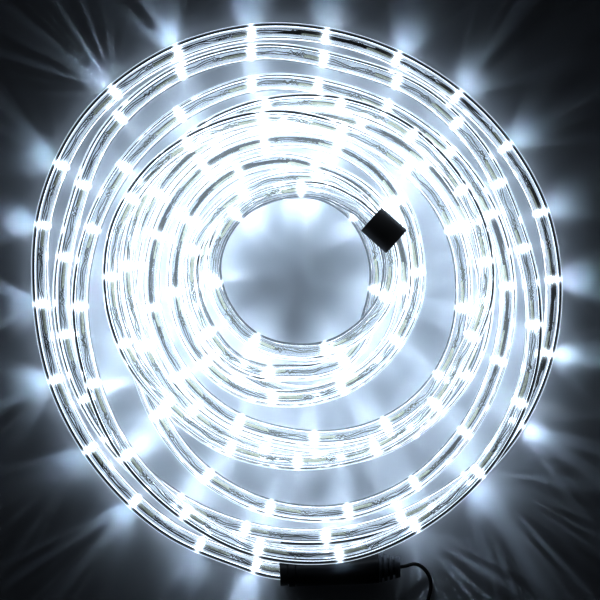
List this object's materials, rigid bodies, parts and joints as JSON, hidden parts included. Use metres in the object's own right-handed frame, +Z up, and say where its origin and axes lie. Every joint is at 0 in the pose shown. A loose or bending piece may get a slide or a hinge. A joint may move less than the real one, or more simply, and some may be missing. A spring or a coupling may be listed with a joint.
{
  "type": "led rope light",
  "caption": "Clear tube rope light with cool white leds, lying as a loose flat coil with a black end cap and a black power connector.",
  "frame": {"origin": "on the floor, in the middle of the rope light's bounding box", "axes": "+Z up from the floor; +X along the power connector towards its lead; the lead leaves the picture towards -Y"},
  "size_m": [0.2996, 0.3688, 0.0367],
  "materials": {
    "clear_pvc": "clear gloss, soft",
    "led_white": "lit, cool white",
    "black_plastic": "satin",
    "black_rubber": "matte"
  },
  "bodies": {
    "root": {"light_tube": "clear_pvc", "led_string": "led_white", "end_cap": "black_plastic", "clamp_nut": "black_plastic", "power_connector": "black_plastic", "strain_relief": "black_rubber", "supply_lead": "black_rubber", "lead_coil": "black_rubber", "lead_tail": "black_rubber", "supply_plug": "black_plastic"}
  },
  "joints": []
}
